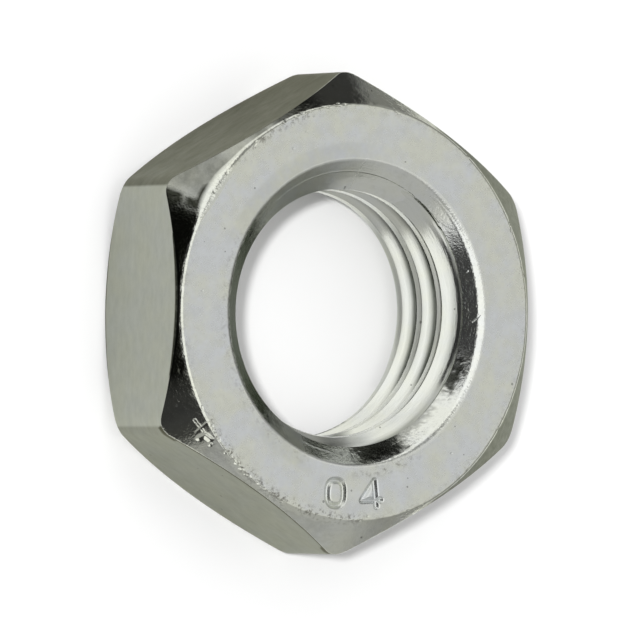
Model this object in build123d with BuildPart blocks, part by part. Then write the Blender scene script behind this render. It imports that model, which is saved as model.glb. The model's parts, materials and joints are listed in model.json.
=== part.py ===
# Thin hexagon nut with a coarse metric thread, chamfered and countersunk on both sides.
# It lies flat on its lower bearing face: Z = 0 is that face and +Z runs along the thread.
# Two wrench flats face -X and +X, and two of the six corners point to -Y and +Y.
import os
from math import ceil, radians, tan

from build123d import *

# Blank, millimetres
across_flats = 30.0
thickness = 9.8
corner_radius = 1.6

# Ends: a round bearing face, a chamfer at this angle to the face, and a soft rim between them.
# The chamfer is very slightly crowned, as a forming die leaves it.
bearing_face_diameter = 29.36
chamfer_angle = 42.0
chamfer_crown_radius = 80.0
rim_radius = 0.35

# Internal thread, M20 x 2.5, right hand
# The start height is the middle of a groove above the lower face, on the +X side
thread_major_diameter = 20.0
thread_pitch = 2.5
thread_angle = 60.0
thread_start_height = 1.5

# Countersinks at both ends of the thread
countersink_diameter = 21.6
countersink_angle = 90.0

# Thread form: a sharp V of one pitch, cut off to a quarter of the pitch at the crest
# and to an eighth of the pitch in the root of the groove
flank_slope = tan(radians(thread_angle / 2))
crest_flat = thread_pitch / 4
root_flat = thread_pitch / 8
thread_depth = (thread_pitch - crest_flat - root_flat) / 2 / flank_slope
major_radius = thread_major_diameter / 2
minor_radius = major_radius - thread_depth

# The groove is cut in half turns. They start and end clear of both faces,
# and their profile reaches a little way into the open bore.
turns_below = 2
groove_start_height = thread_start_height - turns_below * thread_pitch
half_turn_count = 2 * ceil((thickness - groove_start_height) / thread_pitch + 1)
bore_reach = 0.25
cutter_radius = minor_radius - bore_reach
cutter_half_width = (thread_pitch - crest_flat) / 2 + bore_reach * flank_slope

face_radius = bearing_face_diameter / 2
waist_radius = face_radius + thickness / 2 / tan(radians(chamfer_angle))
mouth_radius = countersink_diameter / 2
countersink_slope = tan(radians(countersink_angle / 2))
countersink_depth = (mouth_radius - minor_radius) / countersink_slope

# Half a turn of the thread groove: a trapezoid swept along a helix
with BuildPart() as groove_half_turn:
    with BuildLine() as groove_path:
        Helix(thread_pitch, thread_pitch / 2, minor_radius, center=(0, 0, groove_start_height))
    with BuildSketch(Plane.XZ):
        with BuildLine():
            Polyline(
                (cutter_radius, groove_start_height - cutter_half_width),
                (major_radius, groove_start_height - root_flat / 2),
                (major_radius, groove_start_height + root_flat / 2),
                (cutter_radius, groove_start_height + cutter_half_width),
                close=True,
            )
        make_face()
    sweep(path=groove_path.line, is_frenet=True)

with BuildPart() as hex_nut:
    # Hexagonal blank with rounded corners
    with BuildSketch(Plane.XY) as blank_outline:
        RegularPolygon(across_flats / 2, side_count=6, major_radius=False, rotation=30)
        fillet(blank_outline.vertices(), radius=corner_radius)
    extrude(amount=thickness)

    # Double chamfer: two crowned cones that meet at mid height, outside the corners, and end at the faces
    with BuildSketch(Plane.XZ) as chamfered_outline:
        waist = (waist_radius, thickness / 2)
        with BuildLine():
            RadiusArc((face_radius, thickness), waist, chamfer_crown_radius)
            RadiusArc(waist, (face_radius, 0), chamfer_crown_radius)
            Polyline((face_radius, 0), (0, 0), (0, thickness), (face_radius, thickness))
        make_face()
        rims = chamfered_outline.vertices().group_by(Axis.X)[1]
        fillet(rims, radius=rim_radius)
    revolve(axis=Axis.Z, mode=Mode.INTERSECT)

    # Hole at the thread's minor diameter, opened by a countersink at each face
    with BuildSketch(Plane.XZ) as bore_outline:
        with BuildLine():
            Polyline(
                (0, 0),
                (mouth_radius, 0),
                (minor_radius, countersink_depth),
                (minor_radius, thickness - countersink_depth),
                (mouth_radius, thickness),
                (0, thickness),
                close=True,
            )
        make_face()
    revolve(axis=Axis.Z, mode=Mode.SUBTRACT)

    # Thread: the half turns follow each other up the helix
    half_turns = [
        Location((0, 0, turn * thread_pitch / 2), (0, 0, turn * 180))
        for turn in range(half_turn_count)
    ]
    with Locations(*half_turns):
        add(groove_half_turn.part, mode=Mode.SUBTRACT)

hex_nut.part.label = "hex_nut"

os.makedirs("parts", exist_ok=True)
export_step(hex_nut.part, "parts/hex_nut.step")
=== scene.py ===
"""A thin hexagon nut in zinc-plated steel, lying on a pale table in soft light.

The nut is one mesh, built round the thread's axis from its own sizes, with the wear of a used one.
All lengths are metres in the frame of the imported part: Z = 0 is the table and +Z is the thread's axis.
As the camera sees it, left is -X and up is +Y. Bearings are angles round the axis, from +X toward +Y.
"""

import json
import math

import bmesh
import bpy
import numpy as np
from bpy.props import FloatProperty, FloatVectorProperty, IntProperty, PointerProperty
from mathutils import Euler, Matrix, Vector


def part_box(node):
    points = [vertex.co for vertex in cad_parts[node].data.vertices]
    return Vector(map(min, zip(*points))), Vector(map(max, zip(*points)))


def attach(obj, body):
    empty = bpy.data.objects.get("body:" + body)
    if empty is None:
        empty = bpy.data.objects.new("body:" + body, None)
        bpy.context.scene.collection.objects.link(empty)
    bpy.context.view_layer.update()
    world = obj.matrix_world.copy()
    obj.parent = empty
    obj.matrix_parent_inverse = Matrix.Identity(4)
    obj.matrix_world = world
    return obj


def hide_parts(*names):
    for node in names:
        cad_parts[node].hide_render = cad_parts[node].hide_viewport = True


bl_info = {
    "name": "Thin hexagon nut",
    "version": (1, 0, 0),
    "blender": (4, 5, 0),
    "location": "View3D > Sidebar > Nut",
    "description": "Builds a zinc-plated thin nut and the table and light it is shown in",
    "category": "Object",
}

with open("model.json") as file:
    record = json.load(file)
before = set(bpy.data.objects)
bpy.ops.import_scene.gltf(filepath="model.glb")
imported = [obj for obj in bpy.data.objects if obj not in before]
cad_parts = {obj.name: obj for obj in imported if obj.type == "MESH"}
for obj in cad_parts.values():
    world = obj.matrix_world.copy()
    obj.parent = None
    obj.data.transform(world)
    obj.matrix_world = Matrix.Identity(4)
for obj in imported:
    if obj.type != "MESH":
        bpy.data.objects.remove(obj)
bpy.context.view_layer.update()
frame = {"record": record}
node_low, node_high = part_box("hex_nut")

MM = 0.001
FULL_TURN = 2 * math.pi
RIGHT_ANGLE = math.pi / 2
SECTOR = math.pi / 3

# The nut's faces, by finish
FACE, CHAMFER, FLAT, COUNTERSINK, THREAD = range(5)
ENGRAVED = (FACE, CHAMFER, COUNTERSINK)


def mount_size(name, size):
    """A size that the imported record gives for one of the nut's mounts, in metres."""
    mount = next(m for m in frame["record"]["mounts"] if m["name"] == name)
    return mount["dims"][size] * MM


def packed_corner_radius():
    """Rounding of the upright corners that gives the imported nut's width across corners, in metres."""
    half = (node_high.x - node_low.x) / 2
    sharp = half / math.cos(SECTOR / 2)
    return (sharp - node_high.y) / (sharp / half - 1)


def linear(hex_colour):
    """A colour written as sRGB hex, such as 0xC0C2BA, turned to the linear values that shaders take."""
    channels = [(hex_colour >> shift & 255) / 255 for shift in (16, 8, 0)]
    return tuple(c / 12.92 if c <= 0.04045 else ((c + 0.055) / 1.055) ** 2.4 for c in channels) + (1.0,)


def length(name, default, description):
    """A length in metres."""
    return FloatProperty(
        name=name, description=description, default=default, min=0.0, unit="LENGTH", precision=5
    )


def turn(name, degrees, description):
    """An angle, given in degrees."""
    return FloatProperty(
        name=name, description=description, default=math.radians(degrees), unit="ROTATION"
    )


def colour(name, hex_colour, description):
    """A colour, given as sRGB hex."""
    return FloatVectorProperty(
        name=name,
        description=description,
        default=linear(hex_colour),
        subtype="COLOR",
        size=4,
        min=0.0,
        max=1.0,
    )


def level(name, default, description, highest=10.0):
    """A plain number."""
    return FloatProperty(name=name, description=description, default=default, min=0.0, max=highest)


class NutSizes(bpy.types.PropertyGroup):
    """Sizes of the nut, as packed, and the small roundings that only the look needs."""

    across_flats: length("Across flats", node_high.x - node_low.x, "Width between two opposite flats")
    thickness: length("Thickness", node_high.z - node_low.z, "Height between the two bearing faces")
    corner_radius: length("Corner radius", packed_corner_radius(), "Rounding of the six upright corners")
    face_radius: length("Face radius", 14.68 * MM, "Outer radius of a bearing face, without its rounding")
    rim_radius: length("Rim rounding", 0.35 * MM, "Rounding between a bearing face and the chamfer")
    rim_wear: length("Rim wear", 1.1 * MM, "How much wider that rounding is where it is worn")
    edge_radius: length("Edge rounding", 0.06 * MM, "Rounding between the chamfer and the wrench flats")
    edge_wear: length("Edge wear", 0.5 * MM, "How much wider that rounding is on the left")
    chamfer_angle: turn("Chamfer angle", 42.0, "Slope of the chamfer to the face")
    crown_radius: length("Chamfer crown", 80.0 * MM, "Radius of the chamfer's slight outward bow")
    mouth_radius: length("Countersink radius", 10.8 * MM, "Radius of the countersink at the face")
    mouth_rounding: length("Mouth rounding", 0.35 * MM, "Rounding between the face and the countersink")
    mouth_wear: length("Mouth wear", 0.5 * MM, "How much wider that rounding is on the right")
    foot_depth: length("Countersink foot", 1.25 * MM, "Depth below which the countersink is steepened")
    major_radius: length("Thread major radius", 10.0 * MM, "Radius of the groove's root")
    minor_radius: length("Thread minor radius", mount_size("thread", "r_mm"), "Radius of its crests")
    crest_wear: length("Crest wear", 0.1 * MM, "How far the thread's crests are cut back")
    crest_rounding: length("Crest rounding", 0.02 * MM, "Softness of the crests' corners")
    root_reach: length("Root reach", 0.1 * MM, "How far the groove's hollow aims past the major radius")
    root_rounding: length("Root rounding", 0.5 * MM, "Softness of the groove's root")
    flank_shift: length("Flank shift", 0.1 * MM, "How far the flanks stand apart to make up for it")
    pitch: length("Thread pitch", 2.5 * MM, "Rise of the thread in one turn")
    start: length("Thread start", 1.1 * MM, "Height of the middle of a groove on the +X side")


class NutMarks(bpy.types.PropertyGroup):
    """The stamped strength class and the knocks on the upper side."""

    stroke_width: length("Stroke width", 0.56 * MM, "Width of the stamped strokes")
    stroke_depth: length("Stroke depth", 0.24 * MM, "Depth of the stamped strokes")
    burr: length("Rim burr", 0.012 * MM, "Unevenness of the rims")
    seed: IntProperty(
        name="Seed", description="Start of the random draws for burrs and dents", default=7, min=0
    )


class NutFinish(bpy.types.PropertyGroup):
    """Colours and gloss of the zinc plating on each kind of surface, and the darkest colours of the shade
    painted on it.
    """

    face: colour("Pressed face", 0xE6E8E4, "Zinc on the pressed bearing faces")
    face_roughness: level("Pressed face roughness", 0.28, "Roughness of the bearing faces", 1.0)
    chamfer: colour("Chamfer", 0xE4E6DC, "Zinc on the smooth chamfers")
    # Darkest colour of the painted shade on the chamfers, which stands in for their dark reflections
    chamfer_dark: colour("Dark chamfer", 0x3A3C34, "Zinc where a chamfer is stained darkest")
    chamfer_edge: colour("Chamfer at a glance", 0xDCDED4, "Tint of the chamfers at a glancing angle")
    chamfer_roughness: level("Chamfer roughness", 0.07, "Roughness of the chamfers", 1.0)
    flat: colour("Wrench flat", 0xC6C9BF, "Zinc on the wrench flats")
    # Darkest colour of the painted shade on the wrench flats, which stands in for darker reflections
    flat_dark: colour("Dark wrench flat", 0x585848, "Zinc where the flats are stained darkest")
    flat_edge: colour("Wrench flat at a glance", 0xE6E7DE, "Tint of the flats at a glancing angle")
    flat_roughness: level("Wrench flat roughness", 0.4, "Roughness of the flats", 1.0)
    countersink: colour("Countersink", 0xECEEE8, "Zinc on the countersinks")
    # Darkest colour of the painted shade on the countersinks, which stands in for their dark reflections
    countersink_dark: colour("Dark countersink", 0x4C4E48, "Zinc where a countersink is stained darkest")
    countersink_edge: colour("Countersink at a glance", 0xA6AAA2, "Tint of it at a glancing angle")
    countersink_roughness: level("Countersink roughness", 0.08, "Roughness of the countersinks", 1.0)
    thread: colour("Thread", 0xE6E8E0, "Zinc on the cut thread")
    # Darkest colour of the painted shade in the thread's grooves
    thread_dark: colour("Dark thread", 0x3E433A, "Zinc where the thread's grooves are stained darkest")
    thread_roughness: level("Thread roughness", 0.14, "Roughness of the thread", 1.0)


class StageSettings(bpy.types.PropertyGroup):
    """Table, light and camera."""

    table_radius: length("Table radius", 0.16, "Radius of the round table")
    table: colour("Table", 0xF8F8F8, "Colour of the matt table")
    sun_strength: level("Sun strength", 1.6, "Strength of the lamp that draws the short shadow")
    sun_angle: turn("Sun angle", 4.0, "Apparent size of that lamp, which softens the shadow's edge")
    sun_turn: turn("Sun bearing", 177.0, "Bearing of that lamp, from +X")
    sun_height: turn("Sun height", 52.3, "Height of that lamp above the horizon")
    tent: level("Tent level", 0.32, "Brightness of the light tent round the nut")
    camera_place: FloatVectorProperty(
        name="Camera place",
        description="Where the camera stands, above the nut's left side and far off",
        default=(-0.37675, -0.0184, 0.56368),
        subtype="TRANSLATION",
    )
    camera_turn: FloatVectorProperty(
        name="Camera turn",
        description="How the camera is turned, in ZXY order",
        default=(0.0266, -0.5935, 0.0230),
        subtype="EULER",
    )
    lens_width: level("Lens", 14.844, "Focal length as a multiple of the picture's width", 100.0)


# Shape of the nut


def waves(angles, rng, lowest, highest):
    """An uneven line round the axis that closes on itself, between about -1 and 1."""
    total = np.zeros_like(angles)
    for count in range(lowest, highest):
        size, phase = rng.normal(), rng.uniform(0, FULL_TURN)
        total += size / math.sqrt(highest - lowest) * np.cos(count * angles + phase)
    return total


def hexagon_radius(angles, sizes):
    """Distance from the axis to the side of the round-cornered hexagon."""
    half = sizes.across_flats / 2
    from_flat = np.abs((angles + SECTOR / 2) % SECTOR - SECTOR / 2)
    to_corner = SECTOR / 2 - from_flat
    centre = (half - sizes.corner_radius) / math.cos(SECTOR / 2)
    inside = np.maximum(sizes.corner_radius**2 - (centre * np.sin(to_corner)) ** 2, 0)
    on_flat = half * np.tan(from_flat) <= (half - sizes.corner_radius) * math.tan(SECTOR / 2)
    return np.where(on_flat, half / np.cos(from_flat), centre * np.cos(to_corner) + np.sqrt(inside))


def column_angles(sizes):
    """Angles of the mesh's columns: even steps on the flats and finer ones round the corners."""
    half, corner = sizes.across_flats / 2, sizes.corner_radius
    flat_end = math.atan((half - corner) * math.tan(SECTOR / 2) / half)
    flat_columns, corner_columns = 53, 9
    on_flat = np.linspace(-flat_end, flat_end, flat_columns)
    on_corner = np.linspace(flat_end, SECTOR - flat_end, corner_columns)[1:-1]
    one_side = np.concatenate([on_flat, on_corner])
    return np.concatenate([one_side + SECTOR * side for side in range(6)])


def bearing_share(bearings, middle, half_width, softness):
    """1 within a range of bearings, given in degrees, and 0 outside it, with soft ends."""
    off = np.abs((bearings - math.radians(middle) + math.pi) % FULL_TURN - math.pi)
    share = np.clip((math.radians(half_width) - off) / math.radians(softness) + 0.5, 0, 1)
    return share * share * (3 - 2 * share)


def rim_radii(angles, sizes):
    """Rounding of the bearing face's rim: worn wider at the upper left, a little tighter at the left."""
    worn = 0.55 * bearing_share(angles, 146, 7, 8) + 0.45 * bearing_share(angles, 141, 12, 16)
    tighter = 0.08 * MM * bearing_share(angles, 180, 22, 20)
    return sizes.rim_radius + sizes.rim_wear * worn - tighter


def edge_radii(angles, sizes):
    """Rounding between the chamfer and the wrench flats, which is wider on the left."""
    return sizes.edge_radius + sizes.edge_wear * bearing_share(angles, 180, 16, 22)


def mouth_roundings(angles, sizes):
    """Rounding between the face and the countersink, which is wider on the right."""
    return sizes.mouth_rounding + sizes.mouth_wear * bearing_share(angles, 0, 68, 36)


class ChamferArc:
    """The upper chamfer's slightly bowed profile: a circle of large radius, in (radius, height)."""

    def __init__(self, sizes):
        top = sizes.thickness
        reach = top / 2 / math.tan(sizes.chamfer_angle)
        chord = math.hypot(reach, top / 2)
        inward = math.sqrt(sizes.crown_radius**2 - chord**2 / 4)
        self.bow = sizes.crown_radius
        self.radius = sizes.face_radius + reach / 2 - inward * math.sin(sizes.chamfer_angle)
        self.height = top * 3 / 4 - inward * math.cos(sizes.chamfer_angle)

    def height_at(self, radius):
        """Height of the chamfer at this distance from the axis."""
        return self.height + np.sqrt(self.bow**2 - (radius - self.radius) ** 2)

    def touch(self, radius, height):
        """How far out a rounding with this centre meets the arc, and the direction to that place."""
        direction = np.arctan2(height - self.height, radius - self.radius)
        return self.radius + self.bow * np.cos(direction), direction


def half_outside(angles, sizes, face_rings):
    """Rings of the upper half, as (radii, heights, finish), from the countersink's mouth to the flats."""
    top, arc = sizes.thickness, ChamferArc(sizes)
    rings = []

    def add(radius, height, finish):
        rings.append((radius + 0 * angles, height + 0 * angles, finish))

    def add_rounding(radius, height, rounding, direction, finish):
        add(radius + rounding * np.cos(direction), height + rounding * np.sin(direction), finish)

    rounding = mouth_roundings(angles, sizes)
    mouth = sizes.mouth_radius + rounding * math.tan(RIGHT_ANGLE / 4)
    for direction in np.linspace(1.5, 1.0, 10) * RIGHT_ANGLE:
        add_rounding(mouth, top - rounding, rounding, direction, COUNTERSINK)

    rim = rim_radii(angles, sizes)
    rim_height = top - rim
    rim_centre = arc.radius + np.sqrt((arc.bow - rim) ** 2 - (rim_height - arc.height) ** 2)
    step = 0.04 * MM
    add(mouth + step, top, FACE)
    for radius in np.linspace(mouth + 3 * step, rim_centre - 3 * step, face_rings):
        add(radius, top, FACE)
    add(rim_centre - step, top, FACE)
    rim_out, rim_direction = arc.touch(rim_centre, rim_height)
    for share in np.linspace(0, 1, 8):
        direction = RIGHT_ANGLE + (rim_direction - RIGHT_ANGLE) * share
        add_rounding(rim_centre, rim_height, rim, direction, CHAMFER if share else FACE)

    edge = edge_radii(angles, sizes)
    edge_centre = hexagon_radius(angles, sizes) - edge
    edge_height = arc.height + np.sqrt((arc.bow - edge) ** 2 - (edge_centre - arc.radius) ** 2)
    chamfer_end, edge_direction = arc.touch(edge_centre, edge_height)
    chamfer_end = np.maximum(chamfer_end, rim_out + 0.02 * MM)
    for share in (0.08, 0.2, 0.34, 0.48, 0.62, 0.76, 0.88, 0.96):
        radius = rim_out + (chamfer_end - rim_out) * share
        add(radius, arc.height_at(radius), CHAMFER)
    for share in np.linspace(1, 0, 5):
        add_rounding(edge_centre, edge_height, edge, edge_direction * share, CHAMFER if share else FLAT)
    return rings


def outside_rings(angles, sizes):
    """All rings, from the upper countersink's mouth over the outside to the lower one's.

    The upper face has more rings than the lower one, for its stamped class and its scratches.
    """
    upper = half_outside(angles, sizes, face_rings=20)
    lower = half_outside(angles, sizes, face_rings=4)
    lower = [(radius, sizes.thickness - height, finish) for radius, height, finish in reversed(lower)]
    high, low = upper[-1][1], lower[0][1]
    shares = (0.03, 0.1, 0.24, 0.42, 0.58, 0.76, 0.9, 0.97)
    middle = [(upper[-1][0], high + (low - high) * share, FLAT) for share in shares]
    return upper + middle + lower


def thread_radius(height, angles, sizes):
    """Radius of the threaded wall: a slightly hollow groove that rises by one pitch in a turn."""
    pitch = sizes.pitch
    from_groove = (height - sizes.start - pitch * angles / FULL_TURN + pitch / 2) % pitch - pitch / 2
    slope = 1 / math.tan(SECTOR / 2)
    root = sizes.major_radius + sizes.root_reach
    flank = sizes.major_radius - (np.abs(from_groove) - pitch / 16 - sizes.flank_shift) * slope
    flank = (flank + root - np.sqrt((flank - root) ** 2 + sizes.root_rounding**2)) / 2
    crest = sizes.minor_radius + sizes.crest_wear
    return (flank + crest + np.sqrt((flank - crest) ** 2 + sizes.crest_rounding**2)) / 2


def bore_radius(height, angles, sizes):
    """Radius of the hole: the thread, opened out by a cone at each end.

    Also says how far outside the thread the cone runs. The tap has steepened the foot of the cone where it
    runs over the last ridge on the nut's right side.
    """
    from_end = np.minimum(height, sizes.thickness - height)
    foot = np.maximum(from_end - sizes.foot_depth, 0) * bearing_share(angles, 38, 52, 24)
    cone = sizes.mouth_radius - from_end - foot * (1 / math.tan(SECTOR / 2) - 1)
    thread = thread_radius(height, angles, sizes)
    return np.maximum(cone, thread), cone - thread


def bore_rows(sizes):
    """Heights of the hole's rows on the +X side: closer together where the thread's profile bends."""
    pitch = sizes.pitch
    # Half widths of the groove at its root and at its crests, and of the bends there, in pitches
    root = 1 / 16
    thread_depth = sizes.major_radius - sizes.minor_radius - sizes.crest_wear
    crest = root + thread_depth * math.tan(SECTOR / 2) / pitch
    bend = 0.014
    flank = np.linspace(root + bend, crest - bend, 6)
    half = np.concatenate([[root - bend], flank, [crest, crest + bend, (crest + 0.5 + bend) / 2]])
    one_pitch = np.concatenate([-half[::-1], [0], half, [0.5]]) * pitch
    turns = range(-2, int(sizes.thickness / pitch) + 2)
    return np.concatenate([sizes.start + pitch * turn_number + one_pitch for turn_number in turns])


def bore_grid(angles, sizes):
    """Radii and heights of the hole's wall. Its rows follow the thread up, and stop at the mouths.

    Also gives how far outside the thread the cone runs, which is zero along the line where they meet.
    """
    rows = bore_rows(sizes)
    around = np.append(angles, angles[0] + FULL_TURN)
    depth = mouth_roundings(around, sizes) * (1 - math.sqrt(0.5))
    low, high = depth, sizes.thickness - depth
    heights = np.clip(rows[:, None] + sizes.pitch * around / FULL_TURN, low, high)
    across = np.broadcast_to(around, heights.shape)
    _, gap = bore_radius(heights, across, sizes)
    met = np.zeros(heights.shape, bool)

    # The vertex nearest to the meeting line is moved onto it, one row at a time
    for row in range(len(rows) - 1):
        before, after = gap[row].copy(), gap[row + 1].copy()
        crossing = (before * after < 0) & (heights[row + 1] > heights[row]) & ~met[row]
        share = np.where(crossing, before / np.where(crossing, before - after, 1), 0)
        line = heights[row] + (heights[row + 1] - heights[row]) * share
        nearer_low = (share < 0.5) & (heights[row] > low) | (heights[row + 1] >= high)
        for target, here in ((row, crossing & nearer_low), (row + 1, crossing & ~nearer_low)):
            heights[target] = np.where(here, line, heights[target])
            gap[target] = np.where(here, 0, gap[target])
            met[target] |= here
    radii, _ = bore_radius(heights, across, sizes)
    return radii, heights, around, np.where(met, 0, gap)


def stroke_distance(x, y, points):
    """Distance from each place to a line drawn through the points."""
    nearest = np.full(len(x), np.inf)
    for (x0, y0), (x1, y1) in zip(points, points[1:]):
        dx, dy = x1 - x0, y1 - y0
        share = np.clip(((x - x0) * dx + (y - y0) * dy) / max(dx * dx + dy * dy, 1e-15), 0, 1)
        nearest = np.minimum(nearest, np.hypot(x - x0 - dx * share, y - y0 - dy * share))
    return nearest


def class_strokes():
    """The strength class 04 as strokes on the upper face: an oval nought and an open-armed four."""
    middle_x, middle_y, half_width, half_height, squareness = -1.4, -12.76, 0.7, 0.9, 0.75
    nought = []
    for angle in np.linspace(0, FULL_TURN, 33):
        across, up = math.cos(angle), math.sin(angle)
        x = middle_x + half_width * math.copysign(abs(across) ** squareness, across)
        y = middle_y + half_height * math.copysign(abs(up) ** squareness, up)
        nought.append((x * MM, y * MM))
    four = [(2.12, -13.62), (1.88, -11.82), (0.84, -13.24), (2.46, -13.16)]
    return nought, [(x * MM, y * MM) for x, y in four]


# Scratches, dents and pits of the upper side, seen from above: points, width and depth, in millimetres
KNOCKS = (
    # A crossed scratch and a dent on the left chamfer
    (((-13.1, -7.9), (-12.33, -8.8)), 0.16, 0.026),
    (((-12.81, -8.8), (-12.37, -8.13)), 0.15, 0.026),
    (((-12.55, -9.2), (-12.26, -8.98), (-11.9, -9.25)), 0.5, 0.05),
    (((-11.81, -9.61),), 0.3, 0.08),
    (((-14.26, -6.96), (-14.1, -6.6)), 0.16, 0.012),
    (((-14.49, -4.52),), 0.22, 0.05),
    # Scratches on the countersink
    (((10.27, -0.34), (10.73, 0.17)), 0.09, 0.03),
    (((9.79, 3.28),), 0.14, 0.04),
    (((10.5, 0.81),), 0.14, 0.04),
    # Pits of the bearing face
    (((-5.67, 11.35),), 0.2, 0.05),
    (((-4.6, 12.59),), 0.16, 0.04),
    (((-13.03, 1.1),), 0.18, 0.04),
    (((8.43, -9.71),), 0.2, 0.05),
    (((8.97, -10.13),), 0.16, 0.04),
    (((1.34, -14.35),), 0.22, 0.05),
)


def knocks(sizes, rng):
    """Scratches, nicks and pits of the upper side, as (points, width, depth) in metres."""
    marks = []
    for points, width, depth in KNOCKS:
        marks.append(([(x * MM, y * MM) for x, y in points], width * MM, depth * MM))

    # Fine lines that the tap left on the countersink, just outside the thread's last turn
    for start, end, reach in ((42, 150, 10.02), (-113, -98, 9.9)):
        bearings = np.radians(np.linspace(start, end, 25))
        line = [(reach * math.cos(b) * MM, reach * math.sin(b) * MM) for b in bearings]
        marks.append((line, 0.1 * MM, 0.022 * MM))

    # Nicks along the rim, thickest where the nut was struck at its lower left
    for start, end, number in ((212, 250, 34), (96, 128, 16), (0, 360, 26)):
        for _ in range(number):
            bearing = math.radians(rng.uniform(start, end))
            radius = sizes.face_radius + rng.normal(-0.03, 0.11) * MM
            slant, run = rng.uniform(-0.6, 0.6), rng.uniform(0, 0.22) * MM
            x, y = radius * math.cos(bearing), radius * math.sin(bearing)
            nick = [(x, y), (x - run * math.sin(bearing + slant), y + run * math.cos(bearing + slant))]
            marks.append((nick, rng.uniform(0.1, 0.26) * MM, rng.uniform(0.015, 0.05) * MM))
    return [(points * 2 if len(points) == 1 else points, width, depth) for points, width, depth in marks]


def build_mesh(sizes, marks):
    """The nut's mesh: rings outside, a helical grid inside, joined where the countersinks begin."""
    angles = column_angles(sizes)
    rng = np.random.default_rng(marks.seed)
    mesh = bmesh.new()

    def place(radii, heights, around):
        cosines, sines = np.cos(around), np.sin(around)
        return [mesh.verts.new(p) for p in zip(radii * cosines, radii * sines, heights)]

    rings = outside_rings(angles, sizes)
    uneven = waves(angles, rng, lowest=12, highest=170)
    rim_width, mouth_width = 0.15 * MM, 0.5 * MM
    loops = []
    for radii, heights, _ in rings:
        near_rim = np.exp(-(((radii - sizes.face_radius) / rim_width) ** 2))
        near_mouth = np.exp(-(((radii - sizes.mouth_radius) / mouth_width) ** 2))
        radii = radii + marks.burr * uneven * (near_rim + 0.5 * near_mouth)
        loops.append(place(np.minimum(radii, hexagon_radius(angles, sizes)), heights, angles))
    count = len(angles)
    first_flat = next(ring for ring, (_, _, finish) in enumerate(rings) if finish == FLAT)
    for ring, (loop, following) in enumerate(zip(loops, loops[1:])):
        finish = rings[ring + 1][2] if ring < first_flat else rings[ring][2]
        for column in range(count):
            after = (column + 1) % count
            corners = (loop[column], following[column], following[after], loop[after])
            mesh.faces.new(corners).material_index = finish

    radii, heights, around, gap = bore_grid(angles, sizes)
    rows = [place(radii[row], heights[row], around) for row in range(len(radii))]
    for row, (loop, following) in enumerate(zip(rows, rows[1:])):
        low_gap, high_gap = gap[row], gap[row + 1]
        for column in range(count):
            after = column + 1
            corners = [loop[column], loop[after], following[after], following[column]]
            gaps = [low_gap[column], low_gap[after], high_gap[after], high_gap[column]]
            # A face that the meeting line crosses is split along it
            if gaps[0] == 0 == gaps[2]:
                parts = ((0, 1, 2), (0, 2, 3))
            elif gaps[1] == 0 == gaps[3]:
                parts = ((0, 1, 3), (1, 2, 3))
            else:
                parts = ((0, 1, 2, 3),)
            for part in parts:
                outside = sum(gaps[i] for i in part) > 0
                face = mesh.faces.new([corners[i] for i in part])
                face.material_index = COUNTERSINK if outside else THREAD

    same_place = 0.00001 * MM
    bmesh.ops.remove_doubles(mesh, verts=mesh.verts, dist=same_place)
    bmesh.ops.dissolve_degenerate(mesh, dist=same_place, edges=mesh.edges)
    bmesh.ops.recalc_face_normals(mesh, faces=mesh.faces)
    strokes = [(points, marks.stroke_width, marks.stroke_depth) for points in class_strokes()]
    engrave(mesh, sizes, strokes + knocks(sizes, rng))
    keep_sharp(mesh)
    return mesh


def engrave(mesh, sizes, strokes):
    """Cuts rounded grooves along strokes drawn on the upper side, on a finer grid where they run."""
    middle = sizes.thickness / 2
    margin = 0.14 * MM
    upper = [face for face in mesh.faces if face.material_index in ENGRAVED]
    upper = [face for face in upper if face.calc_center_median().z > middle]
    centres = np.array([face.calc_center_median()[:2] for face in upper])
    near = np.zeros(len(upper), bool)
    for points, width, _ in strokes:
        near |= stroke_distance(centres[:, 0], centres[:, 1], points) < width / 2 + margin
    edges = {edge for face, marked in zip(upper, near) if marked for edge in face.edges}
    bmesh.ops.subdivide_edges(mesh, edges=list(edges), cuts=3, use_grid_fill=True)
    mesh.normal_update()

    vertices = [vertex for vertex in mesh.verts if vertex.co.z > middle]
    vertices = [v for v in vertices if any(face.material_index in ENGRAVED for face in v.link_faces)]
    x, y = np.array([v.co.x for v in vertices]), np.array([v.co.y for v in vertices])
    sunk = np.zeros(len(vertices))
    for points, width, depth in strokes:
        inside = np.clip(stroke_distance(x, y, points) / (width / 2), 0, 1)
        sunk = np.maximum(sunk, depth * (1 + np.cos(math.pi * inside)) / 2)
    for vertex, depth in zip(vertices, sunk):
        if depth > 0:
            vertex.co -= vertex.normal * float(depth)


def keep_sharp(mesh):
    """Shades the mesh smooth, except across its sharp bends and where the thread meets a countersink."""
    sharp_bend = math.radians(34)
    for face in mesh.faces:
        face.smooth = True
    for edge in mesh.edges:
        if len(edge.link_faces) == 2:
            kinds = {face.material_index for face in edge.link_faces}
            edge.smooth = kinds != {COUNTERSINK, THREAD} and edge.calc_face_angle(0) < sharp_bend


# Finish of the nut


def add_node(tree, kind, inputs=(), **settings):
    """Adds a shader node, sets its properties, and sets or links its inputs. Returns the node.

    An input is a value, another node's socket, or another node, which gives its first output.
    """
    node = tree.nodes.new("ShaderNode" + kind)
    for name, value in settings.items():
        setattr(node, name, value)
    for name, value in dict(inputs).items():
        if isinstance(value, bpy.types.Node):
            value = next(output for output in value.outputs if output.enabled)
        if isinstance(value, bpy.types.NodeSocket):
            tree.links.new(value, node.inputs[name])
        else:
            node.inputs[name].default_value = value
    return node


def new_material(name):
    """An empty material, ready for nodes."""
    material = bpy.data.materials.new(name)
    material.use_nodes = True
    material.node_tree.nodes.clear()
    return material


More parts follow.
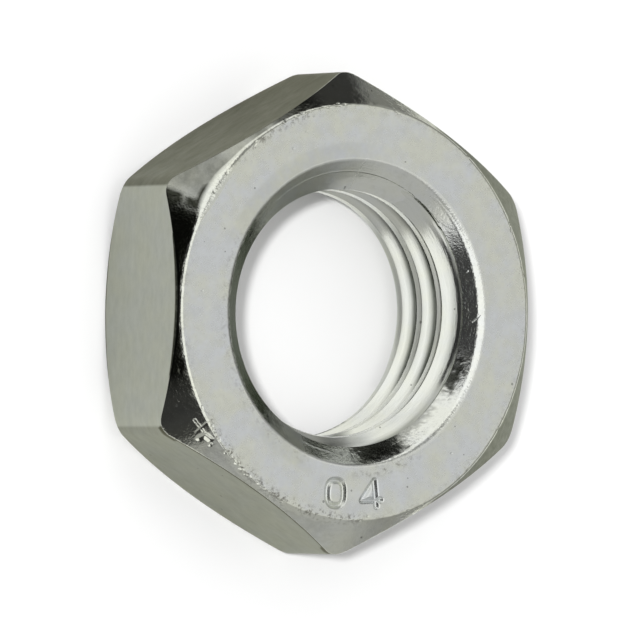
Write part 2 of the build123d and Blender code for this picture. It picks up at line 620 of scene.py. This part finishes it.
def along_cut(tree, place, rise):
    """Places measured along a cut round the axis that rises this much in a turn.

    The run of the cut is drawn short, so that the pattern is pulled out along it.
    """
    short_run = 1.2 * MM
    parts = add_node(tree, "SeparateXYZ", {"Vector": place}).outputs
    bearing = add_node(tree, "Math", {0: parts["Y"], 1: parts["X"]}, operation="ARCTAN2")
    outward = add_node(tree, "CombineXYZ", {"X": parts["X"], "Y": parts["Y"]})
    reach = add_node(tree, "VectorMath", {0: outward}, operation="LENGTH")
    risen = add_node(tree, "Math", {0: bearing, 1: rise / FULL_TURN}, operation="MULTIPLY")
    above = add_node(tree, "Math", {0: parts["Z"], 1: risen}, operation="SUBTRACT")
    run = add_node(tree, "Math", {0: bearing, 1: short_run}, operation="MULTIPLY")
    return add_node(tree, "CombineXYZ", {"X": reach, "Y": run, "Z": above})


# The span that most values of a noise pattern lie in
NOISE_SPAN = {"From Min": 0.3, "From Max": 0.7}

# How much rougher the zinc is where it is fully dull
MATT_ROUGHNESS = 0.26


def zinc(
    name,
    base,
    roughness,
    grain,
    wave,
    mottle,
    speck,
    stretch=(1, 1, 1),
    painted_shade=None,
    edge=None,
    cut=None,
):
    """Zinc electroplate: a pale metal, tinted a little in patches, over the surface that the steel had.

    base is its colour. grain and wave each give the cell size and the depth of a pattern of that surface,
    in millimetres. mottle is the spread of the tint, and speck the share of cells with a dark speck.
    stretch pulls the pattern along X, Y and Z. The shade colour is that of the darkest painted shade,
    which stands in for dark reflections and shade, and edge is the tint seen at a glancing angle. cut is
    the rise in a turn of the cut that shaped the surface, whose marks the pattern follows.
    """
    material = new_material(name)
    tree = material.node_tree
    place = add_node(tree, "TexCoord").outputs["Object"]
    if cut is None:
        pulled = add_node(tree, "Mapping", {"Vector": place, "Scale": stretch})
    else:
        pulled = along_cut(tree, place, cut)

    # Warmer and cooler patches a few millimetres wide
    inputs = {"Vector": place, "Scale": 1 / (2.6 * MM), "Detail": 3.0, "Roughness": 0.6}
    patch = add_node(tree, "TexNoise", inputs)
    coolness = add_node(tree, "MapRange", {"Value": patch, "From Min": 0.38, "From Max": 0.62})
    warmer = (1 + mottle * 0.3, 1 + mottle * 0.3, 1 - mottle, 1)
    cooler = (1 - mottle * 0.2, 1, 1 + mottle * 0.8, 1)
    warm = tuple(min(1, channel * factor) for channel, factor in zip(base, warmer))
    cool = tuple(min(1, channel * factor) for channel, factor in zip(base, cooler))
    shade = add_node(tree, "Mix", {"Factor": coolness, "A": warm, "B": cool}, data_type="RGBA")

    # Duller clouds about a millimetre wide
    inputs = {"Vector": pulled, "Scale": 1 / (1.1 * MM), "Detail": 5.0, "Roughness": 0.65}
    cloud = add_node(tree, "TexNoise", inputs)
    inputs = {"Value": cloud, **NOISE_SPAN, "To Min": mottle * 6, "To Max": 0.0}
    dullness = add_node(tree, "MapRange", inputs)
    dull = tuple(channel * factor for channel, factor in zip(base, (0.75, 0.75, 0.72, 1)))
    shade = add_node(tree, "Mix", {"Factor": dullness, "A": shade, "B": dull}, data_type="RGBA")

    # Fine mottle of the plating's crystals, which are far under 0.1 mm, drawn coarser so that it shows
    inputs = {"Vector": pulled, "Scale": 1 / (0.35 * MM), "Detail": 3.0, "Roughness": 0.7}
    crystal = add_node(tree, "TexNoise", inputs)
    inputs = {"Value": crystal, **NOISE_SPAN, "To Min": mottle * 0.7, "To Max": 0.0}
    greyness = add_node(tree, "MapRange", inputs)
    grey = linear(0x6A6C62)
    shade = add_node(tree, "Mix", {"Factor": greyness, "A": shade, "B": grey}, data_type="RGBA")

    # Painted shade, darkest in the given colour, broken up by streaks about half a millimetre wide
    if painted_shade is not None:
        inputs = {"Vector": pulled, "Scale": 1 / (0.5 * MM), "Detail": 4.0, "Roughness": 0.7}
        streak = add_node(tree, "TexNoise", inputs)
        inputs = {"Value": streak, **NOISE_SPAN, "To Min": -0.07, "To Max": 0.07}
        streak = add_node(tree, "MapRange", inputs)
        depth = add_node(tree, "Attribute", attribute_name="painted_shade").outputs["Fac"]
        depth = add_node(tree, "Math", {0: depth, 1: streak}, operation="ADD", use_clamp=True)
        shade = add_node(tree, "Mix", {"Factor": depth, "A": shade, "B": painted_shade}, data_type="RGBA")

    # Brownish dirt caught in small spots where the nut was struck
    inputs = {"Vector": place, "Scale": 1 / (0.3 * MM), "Detail": 4.0, "Roughness": 0.7}
    spots = add_node(tree, "TexNoise", inputs)
    inputs = {"Value": spots, "From Min": 0.5, "From Max": 0.62, "To Max": 0.75}
    spots = add_node(tree, "MapRange", inputs)
    dirt = add_node(tree, "Attribute", attribute_name="dirt").outputs["Fac"]
    dirt = add_node(tree, "Math", {0: dirt, 1: spots}, operation="MULTIPLY")
    brown = linear(0x5C564A)
    shade = add_node(tree, "Mix", {"Factor": dirt, "A": shade, "B": brown}, data_type="RGBA")

    # Pinholes and specks of the plating, mostly under 0.1 mm, drawn a little larger so that they show
    inputs = {"Vector": place, "Scale": 1 / (0.8 * MM), "Randomness": 1.0}
    cells = add_node(tree, "TexVoronoi", inputs).outputs
    chance = add_node(tree, "SeparateColor", {"Color": cells["Color"]}).outputs["Red"]
    reach = add_node(tree, "MapRange", {"Value": chance, "From Min": 1 - speck, "To Max": 0.15})
    hole = add_node(tree, "Math", {0: cells["Distance"], 1: reach}, operation="LESS_THAN")
    hole = add_node(tree, "Math", {0: hole, 1: 0.5}, operation="MULTIPLY")
    dark = linear(0x3C3E36)
    shade = add_node(tree, "Mix", {"Factor": hole, "A": shade, "B": dark}, data_type="RGBA")

    inputs = {"Value": cloud, **NOISE_SPAN, "To Min": roughness * 0.85, "To Max": roughness * 1.15}
    gloss = add_node(tree, "MapRange", inputs)
    matt = add_node(tree, "Attribute", attribute_name="matt").outputs["Fac"]
    gloss = add_node(tree, "Math", {0: matt, 1: MATT_ROUGHNESS, 2: gloss}, operation="MULTIPLY_ADD")

    # Relief of the steel's surface: long waves first, and the grain on top of them
    normal = None
    for (size, depth), detail in ((wave, 2.0), (grain, 3.0)):
        inputs = {"Vector": pulled, "Scale": 1 / (size * MM), "Detail": detail, "Roughness": 0.6}
        inputs = {"Height": add_node(tree, "TexNoise", inputs), "Distance": depth * MM, "Strength": 1.0}
        if normal:
            inputs["Normal"] = normal
        normal = add_node(tree, "Bump", inputs)
    inputs = {"Base Color": shade, "Metallic": 1.0, "Roughness": gloss, "Normal": normal}
    if edge is not None:
        inputs["Specular Tint"] = edge
    shader = add_node(tree, "BsdfPrincipled", inputs)
    add_node(tree, "OutputMaterial", {"Surface": shader})
    return material


def nut_materials(finish, pitch):
    """One material for each kind of surface, in the order of the finish numbers."""
    return [
        # Zinc on pressed steel: satin and even, with a faint orange peel and a few specks
        zinc(
            "zinc electroplate on pressed face",
            finish.face,
            finish.face_roughness,
            grain=(0.3, 0.0015),
            wave=(1.4, 0.016),
            mottle=0.07,
            speck=0.3,
        ),
        # Zinc on the smooth formed chamfer: nearly a mirror, with a fine grain that breaks up reflections,
        # and painted shade that stands in for its dark reflections
        zinc(
            "zinc electroplate on formed chamfer",
            finish.chamfer,
            finish.chamfer_roughness,
            grain=(0.15, 0.006),
            wave=(0.5, 0.009),
            mottle=0.03,
            speck=0.3,
            painted_shade=finish.chamfer_dark,
            edge=finish.chamfer_edge,
        ),
        # Zinc on the drawn flats: duller, streaked across the flat, with olive painted shade for darker
        # reflections
        zinc(
            "zinc electroplate on drawn flats",
            finish.flat,
            finish.flat_roughness,
            grain=(0.12, 0.004),
            wave=(0.8, 0.008),
            mottle=0.03,
            speck=0.3,
            stretch=(0.4, 0.4, 1.0),
            painted_shade=finish.flat_dark,
            edge=finish.flat_edge,
        ),
        # Zinc on the turned countersink: glossy, with a fine ripple that makes its reflections ragged,
        # and painted shade that stands in for its dark reflections
        zinc(
            "zinc electroplate on turned countersink",
            finish.countersink,
            finish.countersink_roughness,
            grain=(0.13, 0.014),
            wave=(0.5, 0.017),
            mottle=0.03,
            speck=0.2,
            painted_shade=finish.countersink_dark,
            edge=finish.countersink_edge,
        ),
        # Zinc on the tapped thread: bright, with faint marks along the thread, and painted shade in its
        # grooves
        zinc(
            "zinc electroplate on cut thread",
            finish.thread,
            finish.thread_roughness,
            grain=(0.09, 0.005),
            wave=(0.4, 0.01),
            mottle=0.03,
            speck=0.15,
            painted_shade=finish.thread_dark,
            cut=pitch,
        ),
    ]


# How deeply shade is painted on each wrench flat at its middle, for its darker reflections, from the one
# that faces +X on round the nut, and how much the painted shade deepens toward the next flat
FLAT_PAINTED_SHADE = (0.3, 0.45, 0.92, 0.15, 0.5, 0.5)
FLAT_FADES = (0, 0, -0.12, 0, 0, 0)

# Painted shade of the upper chamfer and countersink, for their dark reflections, and of the thread's
# grooves.
# Each has its middle, half width and softness as bearings in degrees, its nearest and farthest distance
# from the axis in millimetres, and its depth.
CHAMFER_PAINTED_SHADE = (
    (0, 64, 10, 14.6, 18, 0.85),
    (76, 14, 10, 14.6, 18, 0.3),
    (112, 9, 8, 14.6, 18, 0.9),
    (124, 5, 10, 14.6, 18, 0.75),
    (132, 8, 10, 14.6, 18, 0.5),
    (143, 9, 10, 14.6, 18, 0.68),
    (149.5, 4, 2, 14.9, 15.35, 1.0),
    (152, 1.5, 1.5, 14.9, 15.7, 1.0),
    (152.5, 2, 1.5, 16.1, 18, 1.0),
    (155, 5, 6, 14.6, 18, 0.8),
    (158.5, 4.5, 2, 14.6, 18, 1.0),
    (180, 29, 4, 14.6, 18, 0.25),
    (180, 22, 12, 14.86, 18, 1.0),
    (240, 24, 10, 15.0, 18, 0.12),
)
COUNTERSINK_PAINTED_SHADE = (
    (187, 44, 20, 7, 10.7, 1.0),
    (187, 50, 20, 10.7, 11.6, 0.3),
    (-25, 7, 6, 9.0, 10.35, 1.0),
    (-52, 13, 12, 9.3, 9.95, 0.5),
    (-75, 12, 6, 8.4, 10.6, 1.0),
)
THREAD_PAINTED_SHADE = (
    (22, 56, 24, 9.4, 10.2, 0.9),
    (0, 180, 20, 9.58, 10.2, 1.0),
    (12, 38, 24, 8, 8.83, 0.5),
    (-84, 12, 12, 8, 9.6, 0.75),
)

# The lengths of the upper countersink that are duller than the rest, in the same terms
MATT = ((118, 34, 24, 7, 12, 1.0), (-122, 12, 8, 7, 12, 0.9))

# Where dirt has caught: middle and half width as bearings in degrees, distance from the axis in
# millimetres, and depth
DIRT = (
    (242, 32, 14.5, 1.0),
    (118, 16, 14.5, 0.7),
    (285, 14, 11.3, 0.6),
    (0, 180, 14.6, 0.25),
    (200, 50, 11.2, 0.3),
)


def patch_depths(bearings, reach, bearing_patches, blur):
    """How deeply each place lies in a set of patches, of painted shade or of duller zinc. blur is the
    width of a patch's soft edge, in millimetres.
    """
    depths = np.zeros(len(bearings))
    for middle, half_width, softness, near, far, depth in bearing_patches:
        across = np.minimum(reach / MM - near, far - reach / MM) / blur + 0.5
        depth = depth * np.clip(across, 0, 1) * bearing_share(bearings, middle, half_width, softness)
        depths = np.maximum(depths, depth)
    return depths


def store_painted_shade_and_dirt(mesh, sizes):
    """Writes how deeply shade is painted on each point, and how dirty and dull it is, so that the
    materials can read it.
    """
    places = np.zeros(len(mesh.vertices) * 3)
    mesh.vertices.foreach_get("co", places)
    x, y, z = places.reshape(-1, 3).T
    bearing, reach = np.arctan2(y, x), np.hypot(x, y)
    side_reach = hexagon_radius(bearing, sizes)
    side = np.round(bearing / SECTOR).astype(int) % 6

    # The painted shade of the chamfer stops short of its bright, worn rim
    bright_rim, soft_edge = sizes.face_radius + 0.26 * rim_radii(bearing, sizes), 0.06 * MM
    past_rim = np.clip((reach - bright_rim) / soft_edge, 0, 1)
    depths = patch_depths(bearing, reach, CHAMFER_PAINTED_SHADE, blur=0.04) * past_rim

    # Each wrench flat has its own depth of painted shade, and the one at the lower left a line of painted
    # shade along its upper edge
    line_side, line_width, line_depth = 4, 0.12 * MM, 1.4
    off_middle = (bearing - SECTOR * side + math.pi) % FULL_TURN - math.pi
    on_side = side_reach - reach < 0.005 * MM
    fade = np.array(FLAT_PAINTED_SHADE)[side] + np.array(FLAT_FADES)[side] * off_middle / (SECTOR / 2)
    depths = np.where(on_side, fade, depths)
    edge_height = sizes.thickness - (side_reach - sizes.face_radius) * math.tan(sizes.chamfer_angle)
    on_line = on_side & (z > edge_height - line_width) & (side == line_side)
    depths = np.where(on_line, line_depth, depths)

    # The countersink's painted shade has ragged edges, and the thread's fades where the countersink cuts
    # into it
    inside = reach < sizes.mouth_radius + sizes.mouth_rounding + sizes.mouth_wear
    seed, bearing_spread, reach_spread = 5, 0.035, 0.09 * MM
    ragged = np.random.default_rng(seed).normal(0, 1, (2, len(x)))
    ragged_bearing = bearing + bearing_spread * ragged[0]
    ragged_reach = reach + reach_spread * ragged[1]
    cone_shade = patch_depths(ragged_bearing, ragged_reach, COUNTERSINK_PAINTED_SHADE, blur=0.2)
    depths = np.where(inside, cone_shade, depths)
    _, gap = bore_radius(z, bearing, sizes)
    fade_length = 1.1 * MM
    clear = np.clip(-gap / fade_length - 0.2, 0, 1)
    threaded = inside & (gap < -0.02 * MM)
    depths = np.where(threaded, patch_depths(bearing, reach, THREAD_PAINTED_SHADE, blur=0.3) * clear, depths)

    matt = patch_depths(bearing, reach, MATT, blur=0.2)
    dirty, dirt_width, dirt_softness = np.zeros(len(x)), 0.35 * MM, 16
    for middle, half_width, distance, depth in DIRT:
        near = np.exp(-(((reach - distance * MM) / dirt_width) ** 2))
        share = bearing_share(bearing, middle, half_width, dirt_softness)
        dirty = np.maximum(dirty, depth * near * share)
    dirty *= z > sizes.thickness / 2
    for name, values in (("painted_shade", depths), ("dirt", dirty), ("matt", matt)):
        mesh.attributes.new(name, "FLOAT", "POINT").data.foreach_set("value", values)


class OBJECT_OT_build_hex_nut(bpy.types.Operator):
    """Build the nut: its body, thread, stamped class and zinc finish"""

    bl_idname = "object.build_hex_nut"
    bl_label = "Build hexagon nut"

    def execute(self, context):
        scene = context.scene
        grid = build_mesh(scene.nut_sizes, scene.nut_marks)
        mesh = bpy.data.meshes.new("plated_hex_nut")
        grid.to_mesh(mesh)
        grid.free()
        store_painted_shade_and_dirt(mesh, scene.nut_sizes)
        for material in nut_materials(scene.nut_finish, scene.nut_sizes.pitch):
            mesh.materials.append(material)
        nut = bpy.data.objects.new("plated_hex_nut", mesh)
        scene.collection.objects.link(nut)
        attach(nut, "root")
        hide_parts("hex_nut")
        return {"FINISHED"}


# Table, light and camera


def build_table(settings):
    """A round matt table top, level with the nut's lower face."""
    mesh = bmesh.new()
    bmesh.ops.create_circle(mesh, cap_ends=True, segments=96, radius=settings.table_radius)
    data = bpy.data.meshes.new("table_top")
    mesh.to_mesh(data)
    mesh.free()

    # Matt white card: pale and even, without any gloss
    material = new_material("matt white card")
    tree = material.node_tree
    shader = add_node(tree, "BsdfDiffuse", {"Color": settings.table, "Roughness": 1.0})
    add_node(tree, "OutputMaterial", {"Surface": shader})
    data.materials.append(material)
    table = bpy.data.objects.new("table_top", data)
    bpy.context.scene.collection.objects.link(table)


# Cards of the light tent: name, bearing, height above the horizon, half width, half height and softness
# of the edge, all in degrees, and brightness. Later cards stand in front of earlier ones.
CARDS = (
    ("face panel", 2, 52, 46, 16, 7, 0.7),
    ("upper side panel", 292, 44, 38, 14, 6, 0.46),
    ("side panel", 271, 16, 38, 19, 6, 0.46),
    ("far panel", 100, 29, 37, 17, 4, 0.98),
    ("rear panel", 174, 62, 86, 16, 3, 1.1),
    ("top panel", 0, 90, 180, 21, 4, 1.1),
    ("dark card", 186, 35, 53, 10, 2.5, 0.045),
    ("dark card's foot", 184, 17, 26, 10, 2.5, 0.045),
    ("corner panel", 138, 22, 9, 8, 2, 0.9),
    ("other corner panel", 239, 21, 10, 8, 2, 0.9),
    ("low dark card", 68, 6, 14.5, 12, 2, 0.04),
)


def build_tent(settings):
    """The light round the nut: a pale tent with brighter panels and a few dark cards, by direction."""
    world = bpy.data.worlds.new("light tent")
    world.use_nodes = True
    tree = world.node_tree
    tree.nodes.clear()
    toward = add_node(tree, "TexCoord").outputs["Generated"]
    parts = add_node(tree, "SeparateXYZ", {"Vector": toward}).outputs
    bearing = add_node(tree, "Math", {0: parts["Y"], 1: parts["X"]}, operation="ARCTAN2")
    height = add_node(tree, "Math", {0: parts["Z"]}, operation="ARCSINE")
    light = settings.tent
    for name, card_bearing, card_height, half_width, half_height, softness, brightness in CARDS:
        cover = 1.0
        spans = ((bearing, card_bearing, half_width), (height, card_height, half_height))
        for angle, middle, half in spans:
            off = add_node(tree, "Math", {0: angle, 1: math.radians(middle)}, operation="SUBTRACT")
            off = add_node(tree, "Math", {0: off, 1: math.pi, 2: -math.pi}, operation="WRAP")
            off = add_node(tree, "Math", {0: off}, operation="ABSOLUTE")
            core, edge = math.radians(max(half - softness, 0)), math.radians(half + softness)
            inputs = {"Value": off, "From Min": core, "From Max": edge, "To Min": 1.0, "To Max": 0.0}
            share = add_node(tree, "MapRange", inputs, interpolation_type="SMOOTHSTEP")
            cover = add_node(tree, "Math", {0: cover, 1: share}, operation="MULTIPLY")
        inputs = {"Factor": cover, "A": light, "B": brightness}
        light = add_node(tree, "Mix", inputs, data_type="FLOAT", label=name)
    background = add_node(tree, "Background", {"Color": light, "Strength": 1.0})
    add_node(tree, "OutputWorld", {"Surface": background})
    bpy.context.scene.world = world


def build_sun(settings):
    """A small lamp that draws the short shadow on the table. The polished metal doesn't mirror it."""
    lamp = bpy.data.lights.new("shadow lamp", "SUN")
    lamp.energy = settings.sun_strength
    lamp.angle = settings.sun_angle
    sun = bpy.data.objects.new("shadow lamp", lamp)
    sun.rotation_euler = Euler((0, RIGHT_ANGLE - settings.sun_height, settings.sun_turn))
    sun.visible_glossy = False
    bpy.context.scene.collection.objects.link(sun)


def build_camera(settings):
    """A camera with a long lens, about 34 degrees off the thread's axis."""
    data = bpy.data.cameras.new("camera")
    data.lens = settings.lens_width * data.sensor_width
    data.clip_start = 0.01
    data.clip_end = 10
    camera = bpy.data.objects.new("camera", data)
    camera.rotation_mode = "ZXY"
    camera.rotation_euler = settings.camera_turn
    camera.location = settings.camera_place
    bpy.context.scene.collection.objects.link(camera)
    bpy.context.scene.camera = camera


class OBJECT_OT_build_nut_stage(bpy.types.Operator):
    """Build the table, the light tent, the lamp and the camera"""

    bl_idname = "object.build_nut_stage"
    bl_label = "Build stage"

    def execute(self, context):
        settings = context.scene.nut_stage
        context.scene.view_settings.view_transform = "Standard"
        build_table(settings)
        build_tent(settings)
        build_sun(settings)
        build_camera(settings)
        return {"FINISHED"}


class VIEW3D_PT_hex_nut(bpy.types.Panel):
    """Sidebar panel with the nut's settings and its two builders"""

    bl_label = "Thin hexagon nut"
    bl_space_type = "VIEW_3D"
    bl_region_type = "UI"
    bl_category = "Nut"

    def draw(self, context):
        for name, group in GROUPS.items():
            box = self.layout.box()
            for setting in group.__annotations__:
                box.prop(getattr(context.scene, name), setting)
        self.layout.operator(OBJECT_OT_build_hex_nut.bl_idname)
        self.layout.operator(OBJECT_OT_build_nut_stage.bl_idname)


GROUPS = {
    "nut_sizes": NutSizes,
    "nut_marks": NutMarks,
    "nut_finish": NutFinish,
    "nut_stage": StageSettings,
}
CLASSES = (*GROUPS.values(), OBJECT_OT_build_hex_nut, OBJECT_OT_build_nut_stage, VIEW3D_PT_hex_nut)


def register():
    for cls in CLASSES:
        bpy.utils.register_class(cls)
    for name, group in GROUPS.items():
        setattr(bpy.types.Scene, name, PointerProperty(type=group))


def unregister():
    for name in GROUPS:
        delattr(bpy.types.Scene, name)
    for cls in reversed(CLASSES):
        bpy.utils.unregister_class(cls)


def main():
    register()
    bpy.ops.object.build_hex_nut()
    bpy.ops.object.build_nut_stage()


if __name__ == "__main__":
    main()
